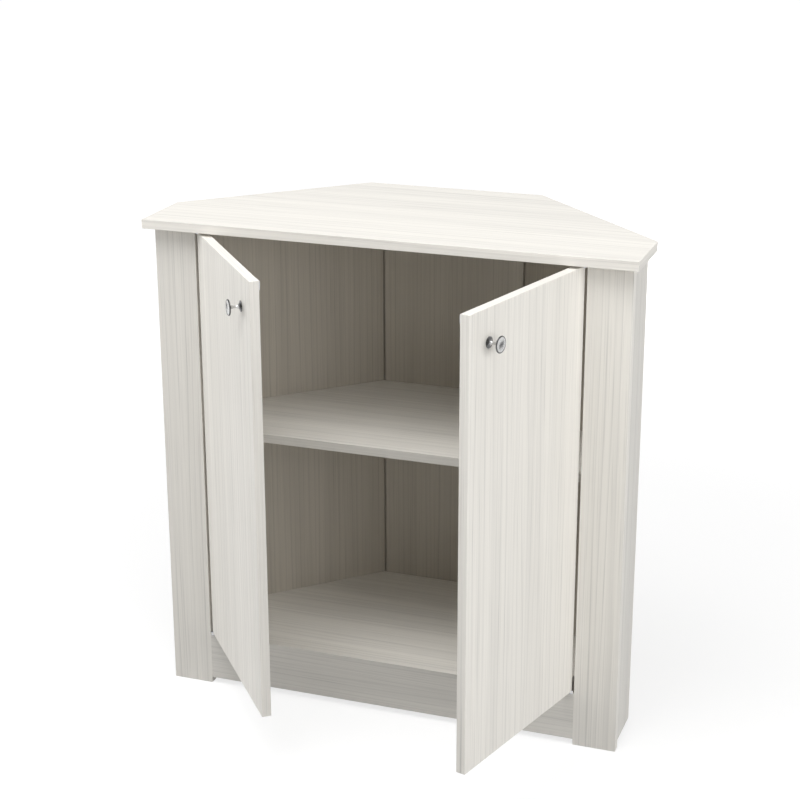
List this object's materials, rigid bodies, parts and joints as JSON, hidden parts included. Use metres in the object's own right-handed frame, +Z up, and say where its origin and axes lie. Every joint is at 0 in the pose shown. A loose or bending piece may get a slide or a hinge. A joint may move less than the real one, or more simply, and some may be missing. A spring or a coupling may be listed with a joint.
{
  "type": "corner cupboard",
  "caption": "Low corner cupboard in pale wood-grain laminate: chamfered top, angled back panels, inner shelf and inset doors on pivot hinges with dished chrome knobs.",
  "frame": {"origin": "on the floor, in the middle of the centre back panel's lower edge, half way through its thickness", "axes": "+X to the cupboard's right seen from the front, +Y to the back into the room's corner, +Z up"},
  "size_m": [0.8, 0.652, 0.814],
  "materials": {
    "laminate": "washed off-white wood-grain laminate",
    "back_laminate": "thin off-white wood-grain board",
    "knob_chrome": "polished",
    "zinc_steel": "zinc plated",
    "zinc": "die-cast zinc",
    "white_plastic": "satin moulded",
    "dowel_beech": "fluted beech",
    "magnet": "ferrite"
  },
  "bodies": {
    "carcass": {"angle_bracket_screws": "zinc_steel", "angle_brackets": "zinc_steel", "back_screws": "zinc_steel", "bottom_panel": "laminate", "cam_bolts": "zinc_steel", "cam_locks": "zinc", "catch_housing": "white_plastic", "catch_magnets": "magnet", "catch_screws": "zinc_steel", "centre_back_panel": "back_laminate", "corner_plate_screws": "zinc_steel", "corner_plates": "zinc_steel", "dowels": "dowel_beech", "frame_leaf_screws": "zinc_steel", "hinge_pins": "zinc_steel", "hinge_washers": "white_plastic", "kick_board": "laminate", "left_back_panel": "back_laminate", "left_lower_frame_leaf": "zinc_steel", "left_return": "laminate", "left_stile": "laminate", "left_upper_frame_leaf": "zinc_steel", "right_back_panel": "back_laminate", "right_lower_frame_leaf": "zinc_steel", "right_return": "laminate", "right_stile": "laminate", "right_upper_frame_leaf": "zinc_steel", "shelf": "laminate", "shelf_pins": "white_plastic", "top_panel": "laminate"},
    "left_leaf": {"left_bracket_screws": "zinc_steel", "left_door": "laminate", "left_knob": "knob_chrome", "left_knob_screw": "zinc_steel", "left_lower_door_bracket": "zinc_steel", "left_strike_plate": "zinc_steel", "left_strike_screw": "zinc_steel", "left_upper_door_bracket": "zinc_steel"},
    "right_leaf": {"right_bracket_screws": "zinc_steel", "right_door": "laminate", "right_knob": "knob_chrome", "right_knob_screw": "zinc_steel", "right_lower_door_bracket": "zinc_steel", "right_strike_plate": "zinc_steel", "right_strike_screw": "zinc_steel", "right_upper_door_bracket": "zinc_steel"}
  },
  "joints": [
    {"name": "left_door_hinge", "type": "hinge", "parent": "carcass", "child": "left_leaf", "pos_m": [-0.314, -0.3455, 0.44475], "axis": [0, 0, -1], "range_deg": [-50.7, 59.3]},
    {"name": "right_door_hinge", "type": "hinge", "parent": "carcass", "child": "right_leaf", "pos_m": [0.314, -0.3455, 0.44475], "axis": [0, 0, 1], "range_deg": [-74.7, 35.3]}
  ]
}
